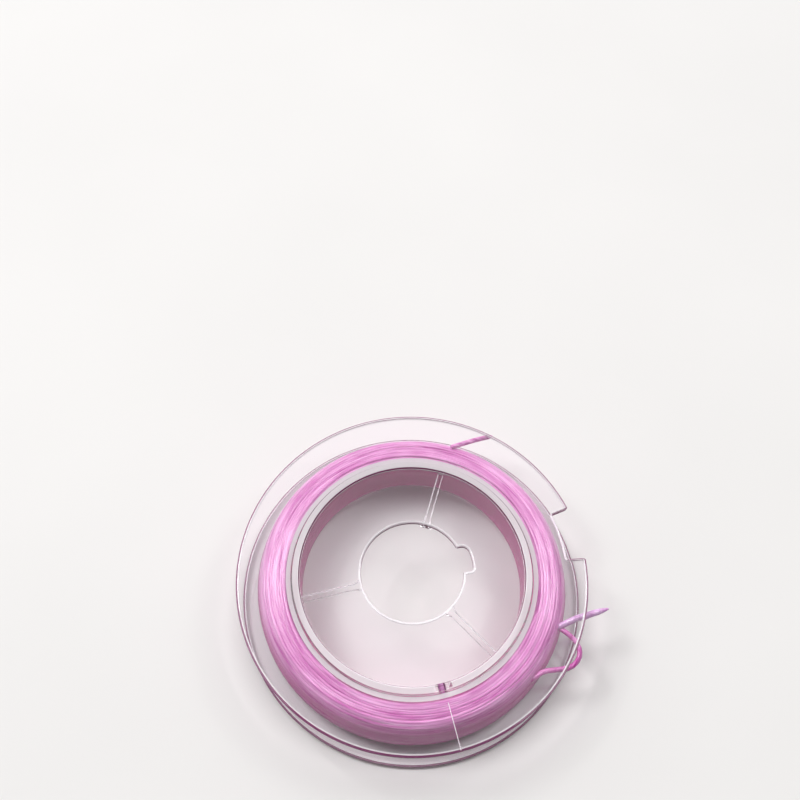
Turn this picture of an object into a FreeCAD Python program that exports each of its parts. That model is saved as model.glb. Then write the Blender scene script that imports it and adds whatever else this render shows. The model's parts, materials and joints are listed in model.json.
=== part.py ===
# A small two-part moulded spool wound with elastic line.
# Millimetres, +Z up. The spool lies flat on its rear flange, and the origin is on its axis at floor level.
import FreeCAD, Part
import math
import os
from FreeCAD import Vector

# Flanges
flange_radius = 27.0
flange_thickness = 1.0
rim_chamfer = 0.2
winding_width = 8.0

# Barrel of the rear half, and the sleeve of the front half that plugs into it
barrel_radius = 19.4
barrel_wall = 1.0
barrel_root_chamfer = 0.35
sleeve_clearance = 0.05
sleeve_wall = 0.95
sleeve_length = 6.5
lead_in = 0.3

# Web of the front half, with its ribs and keyed hole
web_recess = 0.4
web_thickness = 0.8
hole_radius = 7.9
key_radius = 9.45
key_width = 4.1
key_deg = 13.5
key_upper_fillet = 1.0
key_lower_fillet = 0.4
rib_count = 3
rib_first_deg = 73.8
rib_start = 8.4
rib_width = 0.9
rib_height = 1.0

# Notch in the rim of the front flange
notch_depth = 2.95
notch_start_deg = 4.4
notch_span_deg = 17.9
notch_outer_fillet = 0.7
notch_inner_fillet = 0.3

# Line, and the hole in the walls that takes its first end
line_diameter = 0.8
line_hole_radius = 0.65
line_hole_deg = 284.0
line_hole_height = 5.5
start_end_reach = 0.3
line_clearance = 0.05
winding_depth = 4.6
crown_drop = 0.95
turn_count = 5.5
turns_end_deg = 330.0
side_clearance = 0.15
layer_clearance = 0.1
crown_flats = 4

# Heights that follow from the sizes above
front_flange_z = flange_thickness + winding_width
top_z = front_flange_z + flange_thickness
web_top_z = top_z - web_recess
web_bottom_z = web_top_z - web_thickness
sleeve_end_z = front_flange_z - sleeve_length

# Radii that follow
barrel_bore_radius = barrel_radius - barrel_wall
sleeve_radius = barrel_bore_radius - sleeve_clearance
sleeve_bore_radius = sleeve_radius - sleeve_wall
line_radius = line_diameter / 2
crest_radius = barrel_radius + winding_depth - line_radius
middle_z = flange_thickness + winding_width / 2
half_travel = winding_width / 2 - side_clearance - line_radius

over = 1.0


def polar(radius, degrees, z=0.0):
    """A point given by its radius and angle about the spool's axis."""
    turn = math.radians(degrees)
    return Vector(radius * math.cos(turn), radius * math.sin(turn), z)


def revolved(corners):
    """A solid of revolution from its (radius, height) corners."""
    points = [Vector(radius, 0, height) for radius, height in corners]
    face = Part.Face(Part.makePolygon(points + points[:1]))
    return face.revolve(Vector(0, 0, 0), Vector(0, 0, 1), 360)


def disc(radius, low, high):
    return Part.makeCylinder(radius, high - low, Vector(0, 0, low))


def circles(shape, radius, height):
    """The circular edges of a given radius at a given height."""
    found = []
    for edge in shape.Edges:
        if isinstance(edge.Curve, Part.Circle) and abs(edge.Curve.Radius - radius) < 1e-6:
            if abs(edge.Curve.Center.z - height) < 1e-6:
                found.append(edge)
    return found


def break_rim(shape, low, high):
    rims = circles(shape, flange_radius, low) + circles(shape, flange_radius, high)
    return shape.makeChamfer(rim_chamfer, rims)


def sector(inner, outer, start_deg, span_deg, low, high):
    """A slice of a ring between two radii and two angles."""
    middle = start_deg + span_deg / 2
    end = start_deg + span_deg
    wire = Part.Wire([
        Part.Arc(polar(inner, start_deg), polar(inner, middle), polar(inner, end)).toShape(),
        Part.LineSegment(polar(inner, end), polar(outer, end)).toShape(),
        Part.Arc(polar(outer, end), polar(outer, middle), polar(outer, start_deg)).toShape(),
        Part.LineSegment(polar(outer, start_deg), polar(inner, start_deg)).toShape(),
    ])
    slice_ = Part.Face(wire).extrude(Vector(0, 0, high - low))
    slice_.translate(Vector(0, 0, low))
    return slice_


def keyed_hole():
    """The spindle hole with the key slot that one side of it opens into."""
    low = web_bottom_z - over
    high = top_z + over
    root = hole_radius / 2
    half = key_width / 2
    reach = math.sqrt(key_radius ** 2 - half ** 2)
    wire = Part.Wire([
        Part.LineSegment(Vector(root, -half, low), Vector(reach, -half, low)).toShape(),
        Part.Arc(Vector(reach, -half, low), Vector(key_radius, 0, low), Vector(reach, half, low)).toShape(),
        Part.LineSegment(Vector(reach, half, low), Vector(root, half, low)).toShape(),
        Part.LineSegment(Vector(root, half, low), Vector(root, -half, low)).toShape(),
    ])
    key = Part.Face(wire).extrude(Vector(0, 0, high - low))
    for side, fillet in ((-half, key_lower_fillet), (half, key_upper_fillet)):
        corner = [edge for edge in key.Edges if edge.BoundBox.ZLength > over
                  and abs(edge.BoundBox.XMin - reach) < 1e-6 and abs(edge.BoundBox.YMin - side) < 1e-6]
        key = key.makeFillet(fillet, corner)
    key.rotate(Vector(0, 0, 0), Vector(0, 0, 1), key_deg)
    return disc(hole_radius, low, high).fuse(key).removeSplitter()


def line_hole():
    """The drilling through sleeve and barrel for the line's first end."""
    start = polar(sleeve_bore_radius - over, line_hole_deg, line_hole_height)
    length = barrel_radius - sleeve_bore_radius + 2 * over
    return Part.makeCylinder(line_hole_radius, length, start, polar(1, line_hole_deg))


def rear_half():
    """Rear flange and barrel, one moulding, open right through."""
    body = revolved([
        (barrel_bore_radius, 0),
        (flange_radius, 0),
        (flange_radius, flange_thickness),
        (barrel_radius, flange_thickness),
        (barrel_radius, front_flange_z),
        (barrel_bore_radius + lead_in, front_flange_z),
        (barrel_bore_radius, front_flange_z - lead_in),
    ])
    body = break_rim(body, 0, flange_thickness)
    root = circles(body, barrel_radius, flange_thickness)
    body = body.makeChamfer(barrel_root_chamfer, root)
    return body.cut(line_hole()).Solids[0]


def rib(number):
    """One radial rib under the web, from beside the hole to the sleeve."""
    length = sleeve_bore_radius + sleeve_wall / 2 - rib_start
    height = web_thickness / 2 + rib_height
    block = Part.makeBox(length, rib_width, height,
                         Vector(rib_start, -rib_width / 2, web_bottom_z - rib_height))
    block.rotate(Vector(0, 0, 0), Vector(0, 0, 1), rib_first_deg + number * 360 / rib_count)
    return block


def notched(body):
    """The body with the notch that holds the line cut in its front rim."""
    floor = flange_radius - notch_depth
    tool = sector(floor, flange_radius + over, notch_start_deg, notch_span_deg,
                  front_flange_z - over / 2, top_z + over)
    body = body.cut(tool)
    inner, outer = [], []
    for edge in body.Edges:
        box = edge.BoundBox
        if box.XLength > 1e-6 or box.YLength > 1e-6 or box.ZMin < front_flange_z - 1e-6:
            continue
        reach = math.hypot(box.XMin, box.YMin)
        if abs(reach - floor) < 1e-6:
            inner.append(edge)
        elif abs(reach - flange_radius) < 1e-6:
            outer.append(edge)
    body = body.makeFillet(notch_inner_fillet, inner)
    outer = [edge for edge in body.Edges
             if edge.BoundBox.XLength < 1e-6 and edge.BoundBox.YLength < 1e-6
             and edge.BoundBox.ZMin > front_flange_z - 1e-6
             and abs(math.hypot(edge.BoundBox.XMin, edge.BoundBox.YMin) - flange_radius) < 1e-6]
    return body.makeFillet(notch_outer_fillet, outer)


def front_half():
    """Front flange, sleeve and web, one moulding, with the keyed spindle hole."""
    body = revolved([
        (0, web_bottom_z),
        (sleeve_bore_radius, web_bottom_z),
        (sleeve_bore_radius, sleeve_end_z),
        (sleeve_radius - lead_in, sleeve_end_z),
        (sleeve_radius, sleeve_end_z + lead_in),
        (sleeve_radius, front_flange_z),
        (flange_radius, front_flange_z),
        (flange_radius, top_z),
        (sleeve_bore_radius, top_z),
        (sleeve_bore_radius, web_top_z),
        (0, web_top_z),
    ])
    body = notched(body)
    rims = [edge for edge in body.Edges
            if isinstance(edge.Curve, Part.Circle) and abs(edge.Curve.Radius - flange_radius) < 1e-6]
    body = body.makeChamfer(rim_chamfer, rims)
    for number in range(rib_count):
        body = body.fuse(rib(number))
    body = body.cut(keyed_hole())
    return body.cut(line_hole()).removeSplitter().Solids[0]


def turn_radius(z):
    """Radius of the outer layer's centre line, which is crowned like a hand-laid winding."""
    return crest_radius - crown_drop * ((z - middle_z) / half_travel) ** 2


def line_inner_layers():
    """The lower layers as one ring that fills the barrel up to the outer layer."""
    low = flange_thickness + line_clearance
    high = front_flange_z - line_clearance
    inner = barrel_radius + line_clearance
    relief = barrel_root_chamfer + line_clearance
    step = line_radius + layer_clearance
    heights = [low + (high - low) * number / crown_flats for number in range(crown_flats + 1)]
    crown = [(turn_radius(z) - step, z) for z in heights]
    return revolved([(inner + relief, low)] + crown + [(inner, high), (inner, low + relief)])


def turn_point(share):
    """A point on the outer layer, where share runs from 0 at its start to 1 at its end."""
    z = middle_z + half_travel * (2 * share - 1)
    return polar(turn_radius(z), turns_end_deg - (1 - share) * turn_count * 360, z)


def turn_direction(share):
    step = 1e-4
    return (turn_point(share + step) - turn_point(share - step)).normalize()


def tangent_arc(start, heading, end):
    """The arc that leaves start along heading and ends at end."""
    chord = end - start
    side = (chord - heading * chord.dot(heading)).normalize()
    radius = chord.dot(chord) / (2 * chord.dot(side))
    centre = start + side * radius
    middle = (start + end) * 0.5 - centre
    return Part.Arc(start, centre + middle.normalize() * radius, end).toShape()


def biarc(start, heading, end, end_heading):
    """Two arcs that share a tangent, between two points with given headings."""
    chord = end - start
    total = heading + end_heading
    scale = 2 * (1 - heading.dot(end_heading))
    reach = -chord.dot(total) + math.sqrt(chord.dot(total) ** 2 + scale * chord.dot(chord))
    joint = (start + end + (heading - end_heading) * (reach / scale)) * 0.5
    first = tangent_arc(start, heading, joint)
    second = tangent_arc(end, end_heading * -1, joint)
    return [first, second]


def hexagon(centre, heading):
    """A hexagonal section whose corners lie on the line's own circle."""
    across = heading.cross(Vector(0, 0, 1)).normalize()
    up = across.cross(heading).normalize()
    corners = []
    for number in range(6):
        turn = math.radians(30 + 60 * number)
        corners.append(centre + across * (line_radius * math.cos(turn)) + up * (line_radius * math.sin(turn)))
    return Part.makePolygon(corners + corners[:1])


def line_outer_turns():
    """The outer layer, one unbroken tube of faceted section wound over the inner layers."""
    halves = round(turn_count * 2)
    stations = [(turn_point(number / halves), turn_direction(number / halves))
                for number in range(halves + 1)]
    first, first_heading = stations[0]
    last, last_heading = stations[-1]
    lead = first - first_heading * line_diameter
    tail = last + last_heading * line_diameter
    edges = [Part.LineSegment(lead, first).toShape()]
    for (a, a_heading), (b, b_heading) in zip(stations, stations[1:]):
        edges += biarc(a, a_heading, b, b_heading)
    edges.append(Part.LineSegment(last, tail).toShape())
    path = Part.Wire(edges)
    tube = path.makePipeShell([hexagon(lead, first_heading)], True, False)
    samples = path.discretize(Number=2200)
    gap = least_gap(samples)
    print("outer turns: length %.1f, least gap to itself %.3f" % (path.Length, gap))
    section = 1.5 * math.sqrt(3) * line_radius ** 2
    print("outer turns: volume %.2f, section times length %.2f" % (tube.Volume, section * path.Length))
    return tube, tail, last_heading


def least_gap(samples):
    """Smallest clear distance between stretches of the tube that lie a quarter turn or more apart."""
    per_turn = int(len(samples) / turn_count)
    least = flange_radius
    for index, point in enumerate(samples):
        for other in range(index + per_turn // 4, min(len(samples), index + 2 * per_turn)):
            gap = point.distanceToPoint(samples[other]) - line_diameter
            if gap < least:
                least = gap
    return least


def round_tube(name, points):
    """A loose stretch of line: straight runs joined by tangent arcs as large as the runs allow."""
    points = [Vector(*point) for point in points]
    edges = []
    here = points[0]
    for before, corner, after in zip(points, points[1:], points[2:]):
        arriving = (corner - before).normalize()
        leaving = (after - corner).normalize()
        turn = arriving.getAngle(leaving)
        cut = 0.45 * min(before.distanceToPoint(corner), corner.distanceToPoint(after))
        radius = cut / math.tan(turn / 2)
        start, end = corner - arriving * cut, corner + leaving * cut
        bisector = (leaving - arriving).normalize()
        depth = radius / math.cos(turn / 2) - radius
        edges.append(Part.LineSegment(here, start).toShape())
        edges.append(Part.Arc(start, corner + bisector * depth, end).toShape())
        print("%s: turn %.0f degrees, radius %.2f" % (name, math.degrees(turn), radius))
        here = end
    edges.append(Part.LineSegment(here, points[-1]).toShape())
    path = Part.Wire(edges)
    heading = (points[1] - points[0]).normalize()
    tube = path.makePipeShell([hexagon(points[0], heading)], True, False)
    expected = 1.5 * math.sqrt(3) * line_radius ** 2 * path.Length
    print("%s: length %.1f, volume %.3f, expected %.3f" % (name, path.Length, tube.Volume, expected))
    return tube


def line_start_end():
    """The line's first end, from the inner layers through both walls, cut just inside the sleeve."""
    inner = polar(sleeve_bore_radius - start_end_reach, line_hole_deg, line_hole_height)
    length = barrel_radius + line_clearance - sleeve_bore_radius + start_end_reach
    return Part.makeCylinder(line_radius, length, inner, polar(1, line_hole_deg))


# Routes of the loose stretches, chosen by hand
slack_loop_points = [(22.95, -8.3, 6.4), (24.4, -9.35, 6.3), (25.45, -10.7, 6.15), (25.35, -12.35, 5.95),
                     (23.9, -13.75, 5.75), (21.8, -14.55, 5.6), (19.25, -14.95, 5.5)]
free_end_points = [(22.9, -8.75, 8.45), (25.2, -7.5, 8.3), (27.6, -6.5, 8.0), (29.8, -5.4, 7.6)]
tucked_tail_points = [(6.75, 21.62, 8.5), (9.0, 22.4, 8.48), (11.5, 23.2, 8.44), (13.7, 23.75, 8.4)]

os.makedirs("parts", exist_ok=True)
outer_turns, turns_end, turns_heading = line_outer_turns()
print("outer turns end at", turns_end, "heading", turns_heading)
shapes = {
    "rear_half": rear_half(),
    "front_half": front_half(),
    "line_inner_layers": line_inner_layers(),
    "line_outer_turns": outer_turns,
    "line_start_end": line_start_end(),
    "line_slack_loop": round_tube("slack loop", slack_loop_points),
    "line_free_end": round_tube("free end", [tuple(turns_end), tuple(turns_end + turns_heading * line_diameter)]
                                + free_end_points),
    "line_tucked_tail": round_tube("tucked tail", tucked_tail_points),
}
for name, shape in shapes.items():
    shape.exportStep(os.path.join("parts", name + ".step"))
    print(name, shape.ShapeType, len(shape.Solids), "valid", shape.isValid(), "volume %.2f" % shape.Volume)
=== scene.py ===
import json
import math

import bmesh
import bpy
from mathutils import Matrix, Vector, noise


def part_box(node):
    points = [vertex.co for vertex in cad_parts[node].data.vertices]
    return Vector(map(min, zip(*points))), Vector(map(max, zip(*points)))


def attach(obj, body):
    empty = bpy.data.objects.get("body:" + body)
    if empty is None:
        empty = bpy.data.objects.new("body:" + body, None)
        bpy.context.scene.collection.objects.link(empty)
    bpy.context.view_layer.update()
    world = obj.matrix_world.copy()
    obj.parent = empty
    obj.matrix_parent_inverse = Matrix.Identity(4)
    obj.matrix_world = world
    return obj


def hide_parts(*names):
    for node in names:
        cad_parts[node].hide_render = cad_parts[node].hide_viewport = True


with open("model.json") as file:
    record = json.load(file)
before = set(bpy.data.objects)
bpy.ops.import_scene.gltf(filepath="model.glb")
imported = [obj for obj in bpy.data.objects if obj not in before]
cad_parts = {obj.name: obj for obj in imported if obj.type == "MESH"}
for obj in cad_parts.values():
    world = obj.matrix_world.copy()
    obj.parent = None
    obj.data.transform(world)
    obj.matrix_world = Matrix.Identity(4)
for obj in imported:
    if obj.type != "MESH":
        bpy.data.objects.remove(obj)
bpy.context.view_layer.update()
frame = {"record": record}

# Sizes are written in millimetres, and mm turns them to the metres that Blender takes.
mm = 0.001


# Camera, table and daylight
# The spool lies flat on a pale table by a window. The camera looks down on it from the near side.
# The light is soft and even, so the clear flanges show by their rims and not by strong glints.
scene = bpy.context.scene
camera = bpy.data.objects.new("camera", bpy.data.cameras.new("camera"))
camera.data.sensor_width = 36.0
camera.data.lens = 40.5
camera.data.clip_start = 0.005
camera.location = (-0.003227, -0.045827, 0.142728)
camera.rotation_euler = (math.radians(29.761), math.radians(-0.486), math.radians(-0.278))
scene.collection.objects.link(camera)
scene.camera = camera
scene.view_settings.view_transform = "Standard"


def linear(hex_colour):
    """An sRGB hex colour as the linear values that Blender's sockets take."""
    parts = [int(hex_colour[i:i + 2], 16) / 255 for i in (1, 3, 5)]
    parts = [c / 12.92 if c <= 0.04045 else ((c + 0.055) / 1.055) ** 2.4 for c in parts]
    return (*parts, 1.0)


def add_node(material, kind, settings=(), links=()):
    """One node with its settings, and its inputs linked to other nodes' outputs."""
    node = material.node_tree.nodes.new(kind)
    for name, value in dict(settings).items():
        if isinstance(name, str) and hasattr(node, name):
            setattr(node, name, value)
        else:
            node.inputs[name].default_value = value
    for name, (source, output) in dict(links).items():
        material.node_tree.links.new(source.outputs[output], node.inputs[name])
    return node


def new_material(name):
    """An empty node material."""
    material = bpy.data.materials.new(name)
    material.use_nodes = True
    material.node_tree.nodes.clear()
    return material


def new_mesh(name, form):
    """A mesh from a finished bmesh."""
    mesh = bpy.data.meshes.new(name)
    form.to_mesh(mesh)
    form.free()
    return mesh


def new_piece(name, mesh_or_curve, material):
    """An object at the origin that shows one mesh or curve in one material."""
    piece = bpy.data.objects.new(name, mesh_or_curve)
    piece.data.materials.clear()
    piece.data.materials.append(material)
    scene.collection.objects.link(piece)
    return piece


# Painted board, matt and without gloss, with very faint clouds 71 mm wide. Away from the spool it
# fades into the pale backdrop, for every ray but the diffuse ones, which would light the spool.
backdrop = "#F1F0EF"
cloud_width = 71.43 * mm
fade_start, fade_end = 120 * mm, 600 * mm
table_top = new_material("matt_white_table")
table_place = add_node(table_top, "ShaderNodeTexCoord")
table_clouds = add_node(table_top, "ShaderNodeTexNoise", {"Scale": 1 / cloud_width, "Detail": 3.0},
                        {"Vector": (table_place, "Object")})
table_colour = add_node(table_top, "ShaderNodeMixRGB",
                        {"Color1": linear("#E4E3E1"), "Color2": linear("#EDECEA")},
                        {"Fac": (table_clouds, "Fac")})
table_shader = add_node(table_top, "ShaderNodeBsdfPrincipled",
                        {"Roughness": 0.85, "Specular IOR Level": 0.2},
                        {"Base Color": (table_colour, "Color")})
table_reach = add_node(table_top, "ShaderNodeVectorMath", {"operation": "LENGTH"},
                       {"Vector": (table_place, "Object")})
table_fade = add_node(table_top, "ShaderNodeMapRange", {"From Min": fade_start, "From Max": fade_end},
                      {"Value": (table_reach, "Value")})
table_rays = add_node(table_top, "ShaderNodeLightPath")
table_seen = add_node(table_top, "ShaderNodeMath", {"operation": "SUBTRACT", 0: 1.0},
                      {1: (table_rays, "Is Diffuse Ray")})
table_share = add_node(table_top, "ShaderNodeMath", {"operation": "MULTIPLY"},
                       {0: (table_fade, "Result"), 1: (table_seen, "Value")})
table_backdrop = add_node(table_top, "ShaderNodeEmission", {"Color": linear(backdrop)})
table_mix = add_node(table_top, "ShaderNodeMixShader", (),
                     {"Fac": (table_share, "Value"), 1: (table_shader, "BSDF"),
                      2: (table_backdrop, "Emission")})
add_node(table_top, "ShaderNodeOutputMaterial", (), {"Surface": (table_mix, "Shader")})

# The table lies a hair below the rear flange, so that no two faces share a plane.
table_gap = 0.03 * mm
board = bmesh.new()
bmesh.ops.create_grid(board, x_segments=1, y_segments=1, size=3.0)
bmesh.ops.translate(board, verts=board.verts, vec=(0, 0, -table_gap))
table = new_piece("table", new_mesh("table", board), table_top)

# Most of the light comes from two soft windows, left and right, so the turns are bright where they
# run away from the camera. The room fills in from the far side, and is dim behind the camera. What is
# seen past the table, straight or through the clear plastic, is the pale backdrop.
far_side = (-0.12, 0.99, 0.0)
room = bpy.data.worlds.new("room")
room.use_nodes = True
scene.world = room
room_place = add_node(room, "ShaderNodeTexCoord")
room_side = add_node(room, "ShaderNodeVectorMath", {"operation": "DOT_PRODUCT", 1: far_side},
                     {0: (room_place, "Generated")})
room_light = add_node(room, "ShaderNodeMapRange",
                      {"From Min": 0.12, "From Max": 0.45, "To Min": 0.12, "To Max": 1.15},
                      {"Value": (room_side, "Value")})
room_glow = add_node(room, "ShaderNodeBackground", {"Color": linear("#FBF9FB")},
                     {"Strength": (room_light, "Result")})
room_backdrop = add_node(room, "ShaderNodeBackground", {"Color": linear(backdrop)})
room_rays = add_node(room, "ShaderNodeLightPath")
room_seen = add_node(room, "ShaderNodeMath", {"operation": "MAXIMUM"},
                     {0: (room_rays, "Is Camera Ray"), 1: (room_rays, "Is Transmission Ray")})
room_mix = add_node(room, "ShaderNodeMixShader", (),
                    {"Fac": (room_seen, "Value"), 1: (room_glow, "Background"),
                     2: (room_backdrop, "Background")})
room_output = room.node_tree.nodes["World Output"]
room.node_tree.links.new(room_mix.outputs["Shader"], room_output.inputs["Surface"])

window_width = 0.28
for name, place, watts in (("left_window", (-0.45, 0.27, 0.71), 4.1),
                           ("right_window", (0.44, 0.24, 0.73), 2.5)):
    window = bpy.data.objects.new(name, bpy.data.lights.new(name, "AREA"))
    window.data.size = window_width
    window.data.energy = watts
    window.location = place
    window.rotation_euler = (-window.location).to_track_quat("-Z", "Y").to_euler()
    scene.collection.objects.link(window)


# Line wound on the barrel
# Glossy pink polyurethane elastic, 0.8 mm at rest and thinner where it is wound on stretched. Six
# uneven layers fill the barrel, and two passes over them end in a shoulder under the front flange.
barrel_radius = 19.4
flange_thickness = 1.0
front_flange_z = round(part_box("rear_half")[1].z / mm, 2)
wound_thickness = 0.62

# Extruded polyurethane elastic: a soft waxy gloss, light that gets a little way in, and pale streaks along
# the strand, drawn 0.53 mm wide, coarser than real die lines, so that they show. The streaks are also a
# painted highlight, strong over the top of the winding and faint low down. Painted shade makes the winding
# deep pink low down and paler over its top, and the change lies higher on the near side, which gets less
# light.
streak_width, streak_length = 0.5263 * mm, 9.2 * mm
streaked_radius = 23.0 * mm
streak_depth = 0.06 * mm
light_depth = (0.6 * mm, 0.3 * mm, 0.5 * mm)
shade_band_low, shade_band_high = 5.4 * mm, 7.2 * mm
shade_band_tilt = 0.45 * mm
elastic = new_material("extruded_pink_elastic")
elastic_place = add_node(elastic, "ShaderNodeTexCoord")
elastic_parts = add_node(elastic, "ShaderNodeSeparateXYZ", (), {"Vector": (elastic_place, "Object")})
elastic_flat = add_node(elastic, "ShaderNodeVectorMath", {"operation": "MULTIPLY", 1: (1, 1, 0)},
                        {0: (elastic_place, "Object")})
elastic_round = add_node(elastic, "ShaderNodeVectorMath", {"operation": "NORMALIZE"},
                         {"Vector": (elastic_flat, "Vector")})
elastic_reach = add_node(elastic, "ShaderNodeVectorMath", {"operation": "LENGTH"},
                         {"Vector": (elastic_flat, "Vector")})
elastic_up = add_node(elastic, "ShaderNodeMath", {"operation": "MULTIPLY", 1: 1 / streak_width},
                      {0: (elastic_parts, "Z")})
elastic_out = add_node(elastic, "ShaderNodeMath", {"operation": "MULTIPLY", 1: 1 / streak_width},
                       {0: (elastic_reach, "Value")})
elastic_turn = add_node(elastic, "ShaderNodeVectorMath",
                        {"operation": "SCALE", "Scale": streaked_radius / streak_length},
                        {"Vector": (elastic_round, "Vector")})
elastic_turn_parts = add_node(elastic, "ShaderNodeSeparateXYZ", (), {"Vector": (elastic_turn, "Vector")})
elastic_along = add_node(elastic, "ShaderNodeCombineXYZ", (),
                         {"X": (elastic_turn_parts, "X"), "Y": (elastic_turn_parts, "Y"),
                          "Z": (elastic_up, "Value")})
elastic_streaks = add_node(elastic, "ShaderNodeTexNoise",
                           {"noise_dimensions": "4D", "Scale": 1.0, "Detail": 3.0, "Roughness": 0.6},
                           {"Vector": (elastic_along, "Vector"), "W": (elastic_out, "Value")})
elastic_contrast = add_node(elastic, "ShaderNodeMapRange",
                            {"From Min": 0.34, "From Max": 0.72, "To Max": 0.75},
                            {"Value": (elastic_streaks, "Fac")})
# Painted shade and highlight: the colour changes with height, and the change is set higher on the near
# side.
elastic_shade_height = add_node(elastic, "ShaderNodeMath", {"operation": "MULTIPLY_ADD", 1: shade_band_tilt},
                         {0: (elastic_turn_parts, "Y"), 2: (elastic_parts, "Z")})
elastic_painted_shade = add_node(elastic, "ShaderNodeMapRange", {"From Min": shade_band_low, "From Max": shade_band_high},
                          {"Value": (elastic_shade_height, "Value")})
elastic_highlight_share = add_node(elastic, "ShaderNodeMapRange", {"To Min": 0.12, "To Max": 1.5},
                         {"Value": (elastic_painted_shade, "Result")})
elastic_painted_highlight = add_node(elastic, "ShaderNodeMath", {"operation": "MULTIPLY", "use_clamp": True},
                        {0: (elastic_highlight_share, "Result"), 1: (elastic_contrast, "Result")})
# Painted shade: deeper pink low down, less deep higher up.
elastic_shade_colour = add_node(elastic, "ShaderNodeMixRGB",
                        {"Color1": linear("#B01C88"), "Color2": linear("#C044A6")},
                        {"Fac": (elastic_painted_shade, "Result")})
elastic_pink = add_node(elastic, "ShaderNodeMixRGB", {"Color2": linear("#F9B8E9")},
                        {"Fac": (elastic_painted_highlight, "Value"), "Color1": (elastic_shade_colour, "Color")})

# The turns next to the barrel show through its wall. No daylight reaches them, and their stronger pink is
# painted shade, for how they look there.
next_to_barrel, barrel_band = 19.8 * mm, 0.5 * mm
shaded_below, lit_above = 7.8 * mm, 8.3 * mm
elastic_inside = add_node(elastic, "ShaderNodeMath",
                          {"operation": "COMPARE", 1: next_to_barrel, 2: barrel_band},
                          {0: (elastic_reach, "Value")})
elastic_below = add_node(elastic, "ShaderNodeMapRange", {"From Min": lit_above, "From Max": shaded_below},
                         {"Value": (elastic_parts, "Z")})
elastic_shaded = add_node(elastic, "ShaderNodeMath", {"operation": "MULTIPLY"},
                          {0: (elastic_inside, "Value"), 1: (elastic_below, "Result")})
elastic_shade_tint = add_node(elastic, "ShaderNodeMixRGB", {"Color2": linear("#F250AE")},
                        {"Fac": (elastic_shaded, "Value"), "Color1": (elastic_pink, "Color")})
elastic_bump = add_node(elastic, "ShaderNodeBump", {"Strength": 0.5, "Distance": streak_depth},
                        {"Height": (elastic_streaks, "Fac")})
elastic_shader = add_node(elastic, "ShaderNodeBsdfPrincipled",
                          {"Roughness": 0.3, "IOR": 1.48, "Specular IOR Level": 0.3,
                           "Subsurface Weight": 0.3, "Subsurface Radius": light_depth,
                           "Coat Weight": 1.0, "Coat Roughness": 0.22},
                          {"Base Color": (elastic_shade_tint, "Color"), "Normal": (elastic_bump, "Normal")})
add_node(elastic, "ShaderNodeOutputMaterial", (), {"Surface": (elastic_shader, "BSDF")})


def strand_curve(name, route, thickness, material, tip=1.0):
    """A round-section curve object of a thickness in millimetres, along a route of points. Its
    last point is as thick as tip says, against the rest."""
    curve = bpy.data.curves.new(name, "CURVE")
    curve.dimensions = "3D"
    curve.bevel_depth = thickness / 2 * mm
    curve.bevel_resolution = 3
    curve.use_fill_caps = True
    curve.resolution_u = 2
    spline = curve.splines.new("NURBS")
    spline.points.add(len(route) - 1)
    for point, place in zip(spline.points, route):
        point.co = (*place, 1.0)
    spline.points[-1].radius = tip
    spline.order_u = 3
    spline.use_endpoint_u = True
    return new_piece(name, curve, material)


def wound(route, angle, outline, pitch, wander, lift):
    """Adds turns to a route, laid side by side along an outline of (radius, height) points, all in
    millimetres. They wander along it and lift off it a little, by a noise that changes round the
    spool and from turn to turn. Returns the angle reached."""
    points_per_turn = 40
    swing, drift = 1.6, 0.13
    lift_noise = Vector((7, 3, 40))
    corners = [Vector(corner) * mm for corner in outline]
    for first, last in zip(corners, corners[1:]):
        run = last - first
        along = run.normalized()
        out = Vector((along.y, -along.x))
        count = max(1, round(run.length / (pitch * mm) * points_per_turn))
        for number in range(count):
            side = Vector((math.cos(angle) * swing, math.sin(angle) * swing, angle * drift))
            share = number / count + wander * mm / run.length * noise.noise(side)
            raised = out * lift * mm * noise.noise(side + lift_noise)
            place = first + run * min(max(share, 0.0), 1.0) + raised
            route.append((place.x * math.cos(angle), place.x * math.sin(angle), place.y))
            angle += 2 * math.pi / points_per_turn
    return angle


# The outlines follow the middle of the strand. The layers run up and down by turns, and the last three
# stop short of the others' height by their drops. The skin is the outline of the two passes over them.
seat, front_seat = wound_thickness / 2 + 0.05, 0.4
lowest, highest = flange_thickness + seat, front_flange_z - front_seat
layer_drops = (0, 0, 0, 0.3, 1.0, 1.9)
skin = [(23.8, lowest), (24.0, 2.6), (23.95, 4.9), (23.45, 6.7), (22.8, 7.8), (22.2, 8.3), (19.8, highest)]
route = []
angle = 0.0
for layer, drop in enumerate(layer_drops):
    radius = barrel_radius + seat + wound_thickness * layer
    ends = [(radius, lowest), (radius, highest - drop)]
    way = 1 if layer % 2 == 0 else -1
    angle = wound(route, angle, ends[::way], pitch=wound_thickness, wander=0.12, lift=0.08)
angle = wound(route, angle, skin, pitch=0.38, wander=0.2, lift=0.05)
angle = wound(route, angle, skin[:-1][::-1], pitch=0.5, wander=0.35, lift=0.08)
winding = strand_curve("line_winding", route, wound_thickness, elastic)
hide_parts("line_inner_layers", "line_outer_turns")
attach(winding, "root")


# Loose stretches of the line
# The same cord where it leaves the winding: the first end poked through the barrel wall, a slack
# bight and the cut end that stand out past the rim, and the straight tail under the front flange.
line_thickness = 0.8
line_hole_deg, line_hole_height = 284.0, 5.5
line_hole_turn = math.radians(line_hole_deg)


def loose(name, node, thickness, points, material=elastic, tip=1.0):
    """One loose stretch along a route given in millimetres, in place of its CAD solid."""
    piece = strand_curve(name, [Vector(point) * mm for point in points], thickness, material, tip)
    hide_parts(node)
    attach(piece, "root")


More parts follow.
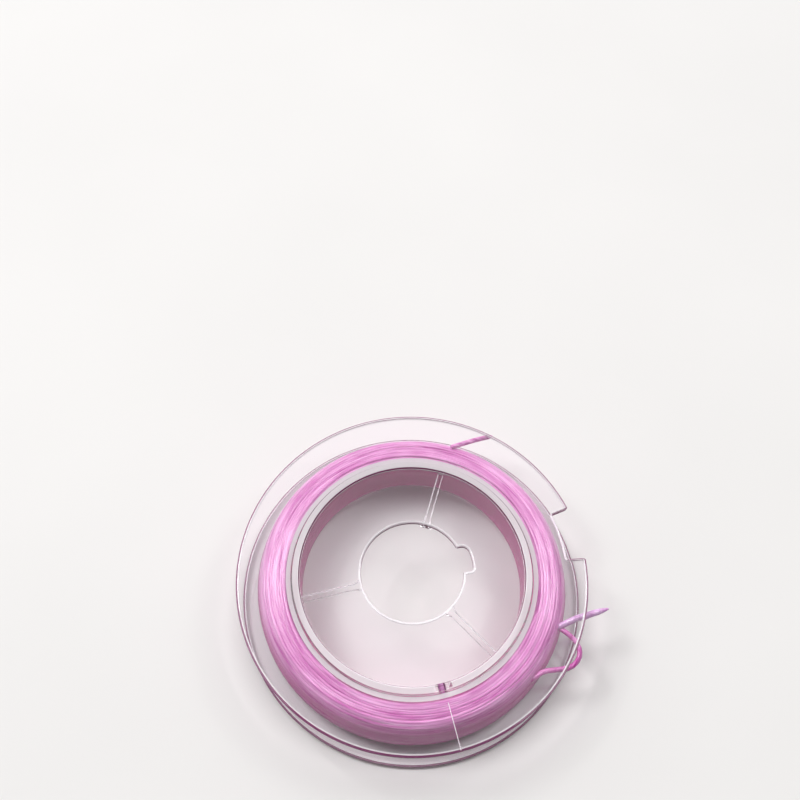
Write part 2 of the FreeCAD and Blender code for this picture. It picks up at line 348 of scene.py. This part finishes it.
loose("line_bight", "line_slack_loop", line_thickness,
      [(20.4, -6.6, 6.2), (21.7, -7.6, 6.3), (23.3, -8.8, 6.7), (24.6, -10.2, 6.9), (25.2, -11.3, 6.8),
       (25.0, -12.7, 6.7), (23.6, -14.1, 6.7), (21.2, -14.45, 6.8), (19.2, -14.6, 6.8), (18.0, -15.5, 6.6),
       (17.2, -16.0, 6.2), (16.0, -15.8, 5.8)])

# Both ends are drawn paler and greyer than the winding, as painted light: the cut end stands out past the
# rim in the light, and the first end is seen greyed through the clear wall. The first end swells to fill
# its hole, and the cut end frays to a thin slant.
painted_light_elastic = elastic.copy()
painted_light_elastic.name = "painted_light_pink_elastic"
painted_light_elastic.node_tree.nodes[elastic_shade_colour.name].inputs["Color1"].default_value = linear("#A8609C")
painted_light_elastic.node_tree.nodes[elastic_shade_colour.name].inputs["Color2"].default_value = linear("#C890C8")
painted_light_elastic.node_tree.nodes[elastic_pink.name].inputs["Color2"].default_value = linear("#E6C2E8")
loose("line_first_end", "line_start_end", 1.2,
      [(reach * math.cos(line_hole_turn), reach * math.sin(line_hole_turn), line_hole_height)
       for reach in (17.2, 17.7, 18.4, 19.3)], painted_light_elastic)
loose("line_cut_end", "line_free_end", 1.0,
      [(19.4, -8.4, 6.0), (21.6, -8.15, 6.3), (23.3, -7.6, 7.3), (24.95, -6.95, 7.9), (26.1, -6.75, 8.0),
       (27.0, -6.3, 8.0), (28.8, -5.8, 7.9), (30.0, -5.4, 7.75)], painted_light_elastic, tip=0.3)
loose("line_tail", "line_tucked_tail", line_thickness,
      [(6.75, 21.62, 8.5), (9.0, 22.4, 8.48), (11.5, 23.2, 8.44), (13.7, 23.75, 8.4)])


# Rear half: flange and barrel
# Injection moulded crystal polystyrene, clear and colourless, one moulding with a thin wide
# flange and the barrel that the line is wound on. Its edges are rounded by the mould's polish.
flange_radius = round(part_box("rear_half")[1].x / mm, 2)
barrel_wall = 1.0
barrel_bore = barrel_radius - barrel_wall
barrel_end_z = front_flange_z - 0.04
barrel_chamfer_in, barrel_chamfer_down = 0.3, 0.26
bore_round, floor_rim_round, rim_round, barrel_root_round = 0.15, 0.45, 0.47, 0.35

# Crystal polystyrene: water clear, with the high gloss of a polished mould. The slow waves that it
# keeps from cooling, 11 mm apart, bend what shows through it. Light on its way to other surfaces
# passes it without bending, so it throws almost no shadow.
wave_width = 11.11 * mm
wave_depth = 0.2 * mm
crystal = new_material("moulded_crystal_polystyrene")
crystal_place = add_node(crystal, "ShaderNodeTexCoord")
crystal_waves = add_node(crystal, "ShaderNodeTexNoise", {"Scale": 1 / wave_width, "Detail": 2.0},
                         {"Vector": (crystal_place, "Object")})
crystal_bump = add_node(crystal, "ShaderNodeBump", {"Strength": 0.12, "Distance": wave_depth},
                        {"Height": (crystal_waves, "Fac")})
crystal_shader = add_node(crystal, "ShaderNodeBsdfPrincipled",
                          {"Base Color": linear("#FFFDFF"), "Roughness": 0.03, "IOR": 1.58,
                           "Transmission Weight": 1.0},
                          {"Normal": (crystal_bump, "Normal")})
crystal_rays = add_node(crystal, "ShaderNodeLightPath")
crystal_lit = add_node(crystal, "ShaderNodeMath", {"operation": "MAXIMUM"},
                       {0: (crystal_rays, "Is Shadow Ray"), 1: (crystal_rays, "Is Diffuse Ray")})
crystal_clear = add_node(crystal, "ShaderNodeBsdfTransparent", {"Color": linear("#FEFDFE")})
crystal_mix = add_node(crystal, "ShaderNodeMixShader", (),
                       {"Fac": (crystal_lit, "Value"), 1: (crystal_shader, "BSDF"),
                        2: (crystal_clear, "BSDF")})
crystal_output = add_node(crystal, "ShaderNodeOutputMaterial", (), {"Surface": (crystal_mix, "Shader")})


def with_painted_scatter(name, colour, share):
    """The clear plastic with a share that scatters light in a colour: painted light, highlight or
    reflection on it.
    """
    material = crystal.copy()
    material.name = name
    nodes = material.node_tree.nodes
    painted_scatter = add_node(material, "ShaderNodeBsdfDiffuse", {"Color": linear(colour)})
    mix = add_node(material, "ShaderNodeMixShader", {"Fac": share},
                   {1: (nodes[crystal_mix.name], "Shader"), 2: (painted_scatter, "BSDF")})
    material.node_tree.links.new(mix.outputs["Shader"], nodes[crystal_output.name].inputs["Surface"])
    return material


# The ends of the barrel and sleeve show as pale bands, painted light for the light that the clear walls
# carry up to their ends, and rounded edges show as white lines, a painted highlight. Upright edges are
# given some of the line's colour, a painted reflection of the winding in the clear walls, and so is the
# sleeve's bore, painted in the pink of the winding close behind it.
painted_light_ends = with_painted_scatter("painted_light_end_polystyrene", "#F2ECF0", 0.64)
painted_highlight_edges = with_painted_scatter("painted_highlight_edge_polystyrene", "#FFFCFF", 0.6)
painted_reflection_edges = with_painted_scatter("painted_reflection_edge_polystyrene", "#8E4E76", 0.7)
painted_winding_wall = with_painted_scatter("painted_winding_wall_polystyrene", "#BC2A8C", 0.45)

# Sizes of the front half that its finish goes by. A small window in the sleeve's finish is left clear
# over the line hole, so that the line's first end shows through the wall.
front_face_z = round(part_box("front_half")[1].z / mm, 2)
sleeve_end_z = round(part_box("front_half")[0].z / mm, 2)
sleeve_clearance = 0.05
sleeve_radius = barrel_bore - sleeve_clearance
sleeve_bore = 17.4
web_low, web_high = 8.8, 9.6
hub_reach = 10.0
notch_root = 24.05
clear_window_deg = 3.5


def face_finish(place, facing_up):
    """The finish of a face of either half: clear, or with painted light, highlight or reflection. Place is
    its middle in millimetres, and facing_up says how much it faces up or down, from 0 for a wall to 1 for a
    flat."""
    tolerance = 0.1
    nearly_wall, nearly_flat = 0.08, 0.995
    radius = place.xy.length
    turn = math.degrees(math.atan2(place.y, place.x)) % 360
    in_sleeve_wall = sleeve_bore - tolerance < radius < barrel_bore - tolerance
    if in_sleeve_wall and abs(turn - line_hole_deg) < clear_window_deg:
        return crystal

    # The flat ends of the walls, given painted light: the ring over the barrel and sleeve, and the sleeve's
    # own end.
    on_front_face = place.z > front_face_z - 0.02
    on_barrel_end = abs(place.z - barrel_end_z) < 0.03
    on_sleeve_end = abs(place.z - sleeve_end_z) < 0.02 and sleeve_bore < radius < sleeve_radius + 0.01
    over_walls = sleeve_bore + 0.3 < radius < barrel_radius
    if over_walls and (on_front_face or on_barrel_end) or on_sleeve_end:
        return painted_light_ends

    # The rounded edges of the rims, the notch and the web's recess: a painted highlight where they face up,
    # a painted reflection of the line's pink where upright.
    on_rim = radius > notch_root - 0.45
    on_notch_root = on_rim and radius < notch_root + 0.05
    on_recess_edge = abs(radius - sleeve_bore) < 0.3 and place.z > web_high + tolerance
    if facing_up < nearly_flat and (on_rim or on_recess_edge):
        highlight_above = 0.9 if on_rim else 0.7
        return painted_highlight_edges if facing_up > highlight_above or on_notch_root else painted_reflection_edges

    # The sleeve's bore, painted with the winding's pink seen through it, and inside it the rounded edges of
    # the ribs and the keyed hole, with painted highlight and reflection.
    on_bore = abs(radius - sleeve_bore) < tolerance and facing_up < 0.01
    if on_bore and sleeve_end_z < place.z < web_low:
        return painted_winding_wall
    if radius < sleeve_bore - 0.05 and nearly_wall < facing_up < nearly_flat:
        on_rib = radius > hub_reach
        return painted_highlight_edges if facing_up > 0.3 or on_rib else painted_reflection_edges
    return crystal


def finish_faces(piece):
    """Gives each face of a piece its finish."""
    for material in (painted_light_ends, painted_highlight_edges, painted_reflection_edges, painted_winding_wall):
        piece.data.materials.append(material)
    for face in piece.data.polygons:
        finish = face_finish(face.center / mm, abs(face.normal.z))
        face.material_index = piece.data.materials.find(finish.name)


def turned(profile, rounded):
    """A bmesh solid spun from a closed (radius, height) outline in millimetres. rounded gives
    the corners to round, by their number, with a radius for each."""
    form = bmesh.new()
    corners = [form.verts.new((r * mm, 0, z * mm)) for r, z in profile]
    for first, second in zip(corners, corners[1:] + corners[:1]):
        form.edges.new((first, second))
    for number, radius in rounded.items():
        bmesh.ops.bevel(form, geom=[corners[number]], offset=radius * mm, affect="VERTICES",
                        segments=4, profile=0.5, material=-1)
    bmesh.ops.spin(form, geom=form.verts[:] + form.edges[:], cent=(0, 0, 0), axis=(0, 0, 1),
                   angle=2 * math.pi, steps=180, use_merge=True)
    bmesh.ops.remove_doubles(form, verts=form.verts, dist=1e-7)
    bmesh.ops.recalc_face_normals(form, faces=form.faces)
    return form


def combine(piece, form, operation):
    """Cuts a bmesh solid out of a piece, or joins it on, and bakes the result into its mesh."""
    tool = bpy.data.objects.new("tool", new_mesh("tool", form))
    scene.collection.objects.link(tool)
    modifier = piece.modifiers.new("combine", "BOOLEAN")
    modifier.operation = operation
    modifier.solver = "EXACT"
    modifier.object = tool
    bpy.context.view_layer.update()
    seen = bpy.context.evaluated_depsgraph_get()
    result = bpy.data.meshes.new_from_object(piece.evaluated_get(seen))
    piece.modifiers.clear()
    piece.data = result
    bpy.data.objects.remove(tool)


def cut_line_hole(piece):
    """Drills the hole that the line's first end goes through."""
    drill_radius, drill_length = 0.58 * mm, 4 * mm
    drill = bmesh.new()
    bmesh.ops.create_cone(drill, cap_ends=True, segments=24, radius1=drill_radius, radius2=drill_radius,
                          depth=drill_length)
    bmesh.ops.rotate(drill, verts=drill.verts, cent=(0, 0, 0),
                     matrix=Matrix.Rotation(math.radians(90), 3, "Y"))
    bmesh.ops.translate(drill, verts=drill.verts, vec=(barrel_bore * mm, 0, line_hole_height * mm))
    bmesh.ops.rotate(drill, verts=drill.verts, cent=(0, 0, 0),
                     matrix=Matrix.Rotation(line_hole_turn, 3, "Z"))
    combine(piece, drill, "DIFFERENCE")


def finish_half(piece, node):
    """Shades a moulded half, so that its rounds are smooth and don't bend the shading of the flats
    beside them, gives it its finish, and puts it in the place of its CAD solid."""
    piece.data.shade_smooth()
    piece.data.set_sharp_from_angle(angle=math.radians(35))
    flats = piece.modifiers.new("flats", "WEIGHTED_NORMAL")
    flats.keep_sharp = True
    finish_faces(piece)
    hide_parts(node)
    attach(piece, "root")


rear_profile = [(barrel_bore, 0.0), (flange_radius, 0.0), (flange_radius, flange_thickness),
                (barrel_radius, flange_thickness), (barrel_radius, barrel_end_z),
                (barrel_bore + barrel_chamfer_in, barrel_end_z),
                (barrel_bore, barrel_end_z - barrel_chamfer_down)]
rear_form = turned(rear_profile, {0: bore_round, 1: floor_rim_round, 2: rim_round, 3: barrel_root_round})
rear_shell = new_piece("rear_moulding", new_mesh("rear_moulding", rear_form), crystal)
cut_line_hole(rear_shell)
finish_half(rear_shell, "rear_half")


# Front half: flange, sleeve, web, key and notch
# The other clear moulding. Its sleeve plugs into the barrel, and its web carries the keyed spindle
# hole and three ribs. The notch in its rim holds the end of the line.
sleeve_lead_in = 0.3
face_round, recess_round = 0.25, 0.2

# It is turned with a small hole first. Cutters that flare at both ends then give the keyed hole and
# the notch rounded edges.
uncut_hole = 6.0
front_profile = [(uncut_hole, web_low), (sleeve_bore, web_low), (sleeve_bore, sleeve_end_z),
                 (sleeve_radius - sleeve_lead_in, sleeve_end_z),
                 (sleeve_radius, sleeve_end_z + sleeve_lead_in), (sleeve_radius, front_flange_z),
                 (flange_radius, front_flange_z), (flange_radius, front_face_z),
                 (barrel_bore, front_face_z), (sleeve_bore, front_face_z), (sleeve_bore, web_high),
                 (uncut_hole, web_high)]
front_form = turned(front_profile, {6: rim_round, 7: rim_round, 9: face_round, 10: recess_round})
front_shell = new_piece("front_moulding", new_mesh("front_moulding", front_form), crystal)


def polar(radius, degrees):
    """A point on the floor in metres, from a radius in millimetres and an angle."""
    turn = math.radians(degrees)
    return Vector((radius * mm * math.cos(turn), radius * mm * math.sin(turn), 0))


def flared(outline, low, high, edge, corners):
    """A bmesh cutter on a flat outline, with some of its corners rounded by a size each. It widens
    at both ends, so that what it cuts between the two heights is left with its edges rounded. A
    sharp corner moves out by more than a straight side, up to a limit."""
    overshoot = 0.4
    corner_segments, edge_steps = 6, 5
    sharpest = 0.6
    form = bmesh.new()
    form.faces.new([form.verts.new(point) for point in outline])
    chosen = [(form.verts[:][number], size) for number, size in corners.items()]
    for corner, size in chosen:
        bmesh.ops.bevel(form, geom=[corner], offset=size * mm, affect="VERTICES",
                        segments=corner_segments, profile=0.5, material=-1)
    end = form.faces[:][0]
    flat = [vert.co.copy() for vert in end.verts]
    sides = [(after - before).normalized() for before, after in zip(flat, flat[1:] + flat[:1])]
    outs = []
    for before, after in zip(sides[-1:] + sides[:-1], sides):
        middle = Vector((before.y + after.y, -before.x - after.x, 0)).normalized()
        outs.append(middle / max(sharpest, middle.dot(Vector((after.y, -after.x, 0)))))
    turns = [math.radians(90 * step / edge_steps) for step in range(edge_steps + 1)]
    rounds = [(edge * math.sin(turn), edge - edge * math.cos(turn)) for turn in turns]
    levels = [(low - overshoot, edge)] + [(low + edge - rise, grow) for rise, grow in rounds[::-1]]
    levels += [(high - edge + rise, grow) for rise, grow in rounds] + [(high + overshoot, edge)]
    for number, (height, grow) in enumerate(levels):
        if number > 0:
            last = end
            raised = bmesh.ops.extrude_face_region(form, geom=[last])["geom"]
            end = [item for item in raised if isinstance(item, bmesh.types.BMFace)][0]
            if number > 1:
                form.faces.remove(last)
        for vert, corner, out in zip(end.verts, flat, outs):
            vert.co = corner + out * grow * mm + Vector((0, 0, height * mm))
    bmesh.ops.recalc_face_normals(form, faces=form.faces)
    return form


def arc(radius, start, span, steps):
    """Points of an arc about the spool's axis, from a start angle over a span in degrees."""
    return [polar(radius, start + span * number / steps) for number in range(steps + 1)]


# The spindle hole, with the key's slot cut deeper into the web. The slot's upper corner is rounder.
spindle_hole = frame["record"]["mounts"][0]
hole_radius = spindle_hole["dims"]["r_mm"]
hole_edge_round = 0.38
key_radius, key_corner_radius = 9.45, 9.5
key_mouth_start, key_mouth_end = -1.0, 28.5
key_start, key_end = 0.9, 26.0
key_lower_round, key_upper_round = 0.45, 1.0
hole_arc = arc(hole_radius, key_mouth_end, 360 + key_mouth_start - key_mouth_end, 96)
key_floor = arc(key_radius, 5, 12, 4)
key_slot = [polar(key_corner_radius, key_start), *key_floor, polar(key_corner_radius, key_end)]
hole_outline = hole_arc + key_slot
hole_corners = {len(hole_arc): key_lower_round, len(hole_outline) - 1: key_upper_round}
hole_cutter = flared(hole_outline, web_low, web_high, hole_edge_round, hole_corners)
combine(front_shell, hole_cutter, "DIFFERENCE")

# The notch in the rim, which flares where it opens, with its four corners rounded.
notch_start, notch_span = 4.3, 18.0
notch_end = notch_start + notch_span
notch_flare = 1.6
flare_start, flare_end, past_rim = 26.7, 27.6, 29.0
notch_edge_round, notch_corner_round = 0.3, 0.3
mouth_start, mouth_end = notch_start - notch_flare, notch_end + notch_flare
notch_mouth = [polar(flare_start, notch_start), polar(flare_end, mouth_start), polar(past_rim, mouth_start),
               polar(past_rim, mouth_end), polar(flare_end, mouth_end), polar(flare_start, notch_end)]
notch_outline = notch_mouth + arc(notch_root, notch_end, -notch_span, 12)
notch_corners = (0, len(notch_mouth) - 1, len(notch_mouth), len(notch_outline) - 1)
notch_cutter = flared(notch_outline, front_flange_z, front_face_z, notch_edge_round,
                      dict.fromkeys(notch_corners, notch_corner_round))
combine(front_shell, notch_cutter, "DIFFERENCE")

# Three ribs under the web, which widen where they meet the hole's edge. A rib's side is given by its
# distance from the spool's axis and half its width.
rib_count, rib_first_deg = 3, 73.8
rib_height = 1.0
rib_edge_round = 0.14 * mm
rib_foot, rib_top = web_low - rib_height, front_flange_z
rib_side = [(8.0, 0.95), (8.35, 0.72), (8.9, 0.5), (9.6, 0.45), (17.6, 0.45)]
rib_outline = [(x, -y) for x, y in rib_side] + rib_side[::-1]
for number in range(rib_count):
    rib = bmesh.new()
    rib.faces.new([rib.verts.new((x * mm, y * mm, rib_foot * mm)) for x, y in rib_outline])
    raised = bmesh.ops.extrude_face_region(rib, geom=rib.faces[:])["geom"]
    bmesh.ops.translate(rib, verts=[item for item in raised if isinstance(item, bmesh.types.BMVert)],
                        vec=(0, 0, (rib_top - rib_foot) * mm))
    bmesh.ops.recalc_face_normals(rib, faces=rib.faces)
    bmesh.ops.bevel(rib, geom=rib.edges[:], offset=rib_edge_round, affect="EDGES", segments=2, profile=0.5,
                    material=-1)
    rib_turn = math.radians(rib_first_deg + 360 / rib_count * number)
    bmesh.ops.rotate(rib, verts=rib.verts, cent=(0, 0, 0), matrix=Matrix.Rotation(rib_turn, 3, "Z"))
    combine(front_shell, rib, "UNION")
cut_line_hole(front_shell)
finish_half(front_shell, "front_half")


# Knit line
# The faint raised seam where the flowing plastic met in the mould, on the front flange only. It runs
# outwards over the line hole.
seam_length, seam_width, seam_height = 6.6 * mm, 0.12 * mm, 0.05 * mm
seam_round = 0.02 * mm

# How far its middle lies from the spool's axis, and how high over the flange's face.
seam_reach, seam_lift = 23.55 * mm, 0.03 * mm
seam = bmesh.new()
bmesh.ops.create_cube(seam, size=1.0)
bmesh.ops.scale(seam, vec=(seam_length, seam_width, seam_height), verts=seam.verts)
bmesh.ops.bevel(seam, geom=seam.edges[:], offset=seam_round, affect="EDGES", segments=2, profile=0.5,
                material=-1)
bmesh.ops.translate(seam, verts=seam.verts, vec=(seam_reach, 0, front_face_z * mm + seam_lift))
bmesh.ops.rotate(seam, verts=seam.verts, cent=(0, 0, 0), matrix=Matrix.Rotation(line_hole_turn, 3, "Z"))

# Polystyrene with the frost of a seam: it lets some light through and scatters the rest, nearly white.
frosted = new_material("frosted_polystyrene")
frosted_shader = add_node(frosted, "ShaderNodeBsdfPrincipled",
                          {"Base Color": linear("#FFF6FD"), "Roughness": 0.35, "IOR": 1.58,
                           "Transmission Weight": 0.4})
add_node(frosted, "ShaderNodeOutputMaterial", (), {"Surface": (frosted_shader, "BSDF")})
knit_line = new_piece("knit_line", new_mesh("knit_line", seam), frosted)
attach(knit_line, "root")
